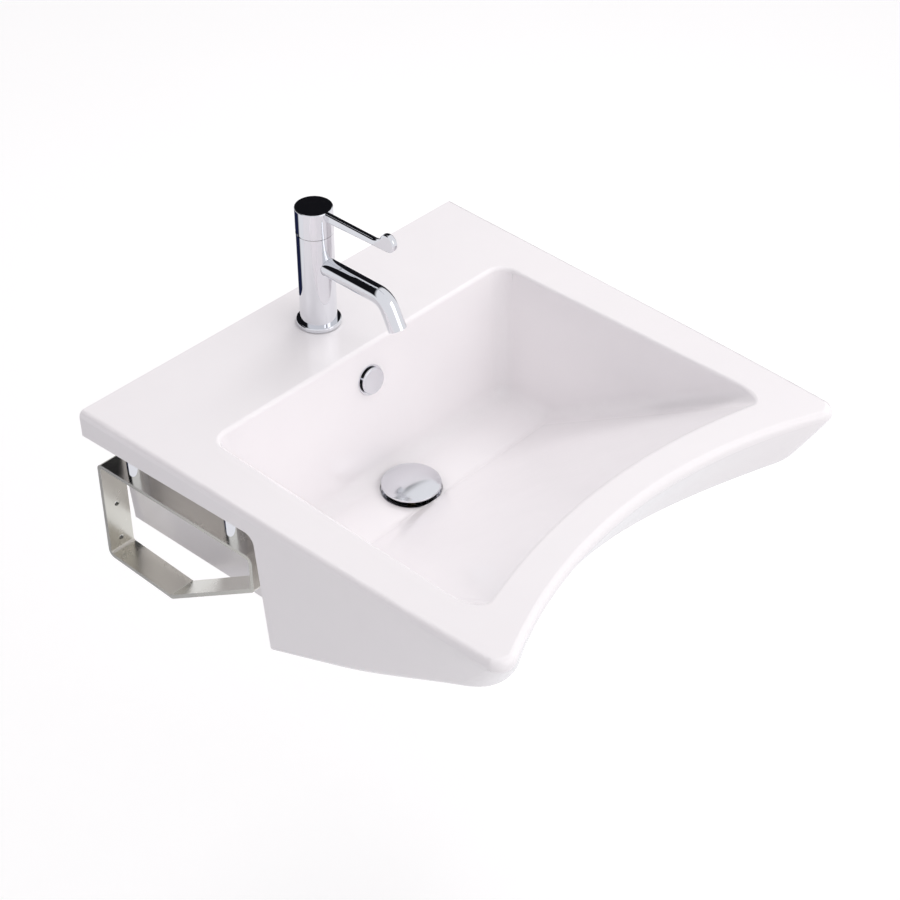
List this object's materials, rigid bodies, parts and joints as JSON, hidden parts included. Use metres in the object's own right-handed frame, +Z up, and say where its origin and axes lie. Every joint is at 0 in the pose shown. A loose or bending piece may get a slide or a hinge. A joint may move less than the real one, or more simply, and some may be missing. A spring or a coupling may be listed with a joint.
{
  "type": "wall-hung basin",
  "caption": "Wall-hung ceramic basin with a sloping bowl and scooped front edge, a lever tap, an overflow, a push plug and looped wall brackets.",
  "frame": {"origin": "middle of the four wall fixing holes of the brackets, on the wall plane", "axes": "+X to the right seen from the room, +Y into the wall, +Z up; the basin reaches out along -Y"},
  "size_m": [0.6078, 0.6111, 0.4363],
  "materials": {
    "glazed_ceramic": "gloss white glaze",
    "chrome": "polished",
    "polished_steel": "polished stainless",
    "plain_steel": "plain",
    "brass": "satin",
    "rubber": "matt",
    "plastic": "matt"
  },
  "bodies": {
    "basin": {"basin_body": "glazed_ceramic", "overflow_sleeve": "chrome", "overflow_cover": "chrome", "waste_body": "chrome", "waste_top_gasket": "rubber", "waste_lower_seal": "rubber", "waste_slip_washer": "plain_steel", "waste_backnut": "brass", "plug_guide": "plastic", "tap_base_gasket": "rubber", "tap_base_flange": "chrome", "tap_body": "chrome", "tap_spout": "chrome", "aerator_housing": "chrome", "aerator_insert": "plastic", "cartridge": "plastic", "cartridge_seal": "rubber", "cartridge_nut": "brass", "tap_stud": "plain_steel", "horseshoe_gasket": "rubber", "horseshoe_washer": "plain_steel", "tap_fixing_nut": "plain_steel", "bracket_left": "polished_steel", "bracket_right": "polished_steel", "bracket_posts_left": "polished_steel", "bracket_posts_right": "polished_steel", "post_pads_left": "rubber", "post_pads_right": "rubber", "post_screws_left": "plain_steel", "post_screws_right": "plain_steel"},
    "waste_plug": {"plug_cap": "chrome", "plug_stem": "brass", "plug_seal": "rubber"},
    "lever_swivel": {"cartridge_swivel": "brass", "swivel_pin": "plain_steel"},
    "lever_handle": {"lever": "chrome", "spindle": "brass", "lever_grub_screw": "plain_steel"}
  },
  "joints": [
    {"name": "plug_slide", "type": "slide", "parent": "basin", "child": "waste_plug", "axis": [0, 0, 1], "range_m": [-0.007, 0]},
    {"name": "lever_turn", "type": "hinge", "parent": "basin", "child": "lever_swivel", "pos_m": [0, -0.0696, 0.3], "axis": [0, 0, 1], "range_deg": [-45, 45]},
    {"name": "lever_lift", "type": "hinge", "parent": "lever_swivel", "child": "lever_handle", "pos_m": [0, -0.0696, 0.3071], "axis": [-1, 0, 0], "range_deg": [0, 20]}
  ]
}
